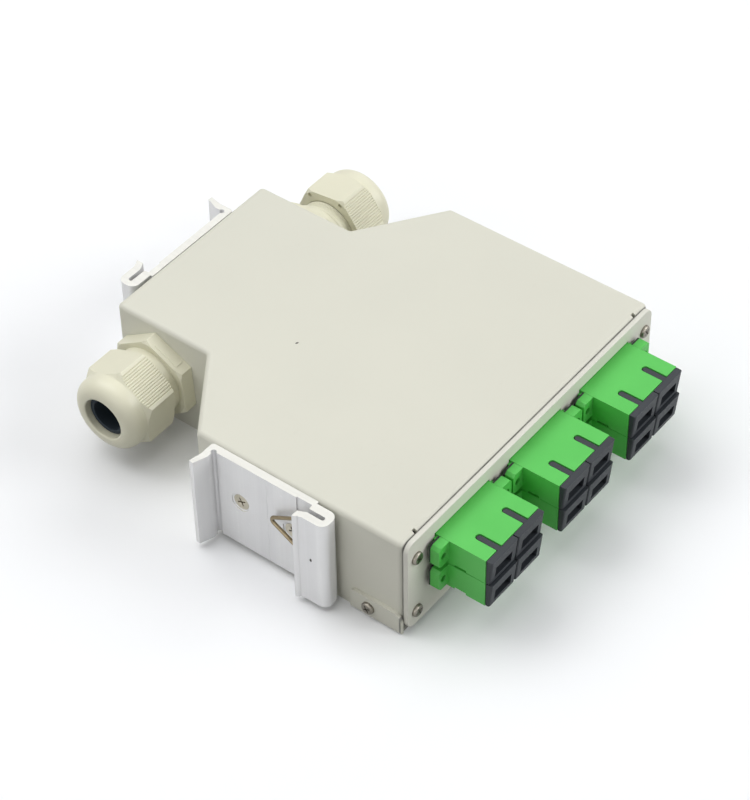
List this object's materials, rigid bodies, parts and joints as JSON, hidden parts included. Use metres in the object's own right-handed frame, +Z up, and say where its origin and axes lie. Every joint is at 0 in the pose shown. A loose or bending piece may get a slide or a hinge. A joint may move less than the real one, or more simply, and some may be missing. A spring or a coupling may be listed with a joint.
{
  "type": "fibre splice box",
  "caption": "Sheet-metal fibre splice box: capped duplex adapters along the front, cable glands on a narrow rear section, and aluminium rail clips with wire springs.",
  "frame": {"origin": "centre of the box's footprint, on the underside of its bottom cover", "axes": "+Z up through the box's top, -Y the way the adapters look, +Y towards the narrow rear section, +X to the right seen from the front"},
  "size_m": [0.1373, 0.1591, 0.0365],
  "materials": {
    "housing_paint": "fine-textured powder coat",
    "panel_paint": "fine-textured powder coat",
    "adapter": "satin moulded",
    "dust_cap": "satin moulded",
    "ceramic": "polished",
    "spring_strip": "rolled",
    "side_plate": "blackened",
    "gland": "satin moulded",
    "seal": "smooth",
    "gasket": "smooth",
    "extrusion": "fine blasted, with bright sawn ends",
    "spring_wire": "drawn, slightly yellow",
    "clip_screw": "zinc plated",
    "small_screw": "nickel plated",
    "standoff": "zinc plated",
    "tray": "moulded",
    "lid": "clear"
  },
  "bodies": {
    "box": {"housing_shell": "housing_paint", "bottom_cover": "housing_paint", "front_panel": "panel_paint", "panel_screws": "small_screw", "cover_screws": "small_screw", "tray_screws": "small_screw", "clip_screws": "clip_screw", "clip_nuts": "clip_screw", "tray_standoffs": "standoff", "splice_tray": "tray", "splice_comb": "tray", "tray_lid": "lid", "side_rail_clip": "extrusion", "rear_rail_clip": "extrusion", "adapter_spring_strips": "spring_strip", "adapter_side_plates": "side_plate", "left_gland_body": "gland", "left_gland_locknut": "gland", "left_gland_gasket": "gasket", "right_gland_body": "gland", "right_gland_locknut": "gland", "right_gland_gasket": "gasket", "adapter_left_upper": "adapter", "sleeves_left_upper": "ceramic", "adapter_left_lower": "adapter", "sleeves_left_lower": "ceramic", "adapter_middle_upper": "adapter", "sleeves_middle_upper": "ceramic", "adapter_middle_lower": "adapter", "sleeves_middle_lower": "ceramic", "adapter_right_upper": "adapter", "sleeves_right_upper": "ceramic", "adapter_right_lower": "adapter", "sleeves_right_lower": "ceramic"},
    "side_clip_spring": {"side_clip_spring": "spring_wire"},
    "rear_clip_spring": {"rear_clip_spring": "spring_wire"},
    "left_gland_nut": {"left_gland_nut": "gland"},
    "left_gland_seal": {"left_gland_seal": "seal"},
    "right_gland_nut": {"right_gland_nut": "gland"},
    "right_gland_seal": {"right_gland_seal": "seal"},
    "dust_cap_left_upper_a": {"dust_cap_left_upper_a": "dust_cap"},
    "dust_cap_left_upper_b": {"dust_cap_left_upper_b": "dust_cap"},
    "dust_cap_left_lower_a": {"dust_cap_left_lower_a": "dust_cap"},
    "dust_cap_left_lower_b": {"dust_cap_left_lower_b": "dust_cap"},
    "dust_cap_middle_upper_a": {"dust_cap_middle_upper_a": "dust_cap"},
    "dust_cap_middle_upper_b": {"dust_cap_middle_upper_b": "dust_cap"},
    "dust_cap_middle_lower_a": {"dust_cap_middle_lower_a": "dust_cap"},
    "dust_cap_middle_lower_b": {"dust_cap_middle_lower_b": "dust_cap"},
    "dust_cap_right_upper_a": {"dust_cap_right_upper_a": "dust_cap"},
    "dust_cap_right_upper_b": {"dust_cap_right_upper_b": "dust_cap"},
    "dust_cap_right_lower_a": {"dust_cap_right_lower_a": "dust_cap"},
    "dust_cap_right_lower_b": {"dust_cap_right_lower_b": "dust_cap"}
  },
  "joints": [
    {"name": "dust_cap_left_upper_a_pull", "type": "slide", "parent": "box", "child": "dust_cap_left_upper_a", "axis": [0, -1, 0], "range_m": [0, 0.012]},
    {"name": "dust_cap_left_upper_b_pull", "type": "slide", "parent": "box", "child": "dust_cap_left_upper_b", "axis": [0, -1, 0], "range_m": [0, 0.012]},
    {"name": "dust_cap_left_lower_a_pull", "type": "slide", "parent": "box", "child": "dust_cap_left_lower_a", "axis": [0, -1, 0], "range_m": [0, 0.012]},
    {"name": "dust_cap_left_lower_b_pull", "type": "slide", "parent": "box", "child": "dust_cap_left_lower_b", "axis": [0, -1, 0], "range_m": [0, 0.012]},
    {"name": "dust_cap_middle_upper_a_pull", "type": "slide", "parent": "box", "child": "dust_cap_middle_upper_a", "axis": [0, -1, 0], "range_m": [0, 0.012]},
    {"name": "dust_cap_middle_upper_b_pull", "type": "slide", "parent": "box", "child": "dust_cap_middle_upper_b", "axis": [0, -1, 0], "range_m": [0, 0.012]},
    {"name": "dust_cap_middle_lower_a_pull", "type": "slide", "parent": "box", "child": "dust_cap_middle_lower_a", "axis": [0, -1, 0], "range_m": [0, 0.012]},
    {"name": "dust_cap_middle_lower_b_pull", "type": "slide", "parent": "box", "child": "dust_cap_middle_lower_b", "axis": [0, -1, 0], "range_m": [0, 0.012]},
    {"name": "dust_cap_right_upper_a_pull", "type": "slide", "parent": "box", "child": "dust_cap_right_upper_a", "axis": [0, -1, 0], "range_m": [0, 0.012]},
    {"name": "dust_cap_right_upper_b_pull", "type": "slide", "parent": "box", "child": "dust_cap_right_upper_b", "axis": [0, -1, 0], "range_m": [0, 0.012]},
    {"name": "dust_cap_right_lower_a_pull", "type": "slide", "parent": "box", "child": "dust_cap_right_lower_a", "axis": [0, -1, 0], "range_m": [0, 0.012]},
    {"name": "dust_cap_right_lower_b_pull", "type": "slide", "parent": "box", "child": "dust_cap_right_lower_b", "axis": [0, -1, 0], "range_m": [0, 0.012]},
    {"name": "left_nut_advance", "type": "slide", "parent": "box", "child": "left_gland_seal", "axis": [-1, 0, 0], "range_m": [-0.00025, 0.008]},
    {"name": "left_nut_turn", "type": "hinge", "parent": "left_gland_seal", "child": "left_gland_nut", "pos_m": [-0.052, 0.0479, 0.0183], "axis": [-1, 0, 0], "range_deg": [-58, 1915]},
    {"name": "right_nut_advance", "type": "slide", "parent": "box", "child": "right_gland_seal", "axis": [1, 0, 0], "range_m": [-0.00485, 0.0034]},
    {"name": "right_nut_turn", "type": "hinge", "parent": "right_gland_seal", "child": "right_gland_nut", "pos_m": [0.052, 0.0479, 0.0183], "axis": [1, 0, 0], "range_deg": [-1160, 815]},
    {"name": "side_clip_spring_press", "type": "hinge", "parent": "box", "child": "side_clip_spring", "pos_m": [-0.0659, -0.0362, 0.023], "axis": [0, 0, -1], "range_deg": [0, 2.2], "stiffness_Nm_per_rad": 2},
    {"name": "rear_clip_spring_press", "type": "hinge", "parent": "box", "child": "rear_clip_spring", "pos_m": [-0.0193, 0.0685, 0.023], "axis": [0, 0, -1], "range_deg": [0, 2.2], "stiffness_Nm_per_rad": 2}
  ],
  "couplings": [
    {"joint": "left_nut_advance", "follows": "left_nut_turn", "m_per_rad": 0.00023873},
    {"joint": "right_nut_advance", "follows": "right_nut_turn", "m_per_rad": 0.00023873}
  ]
}
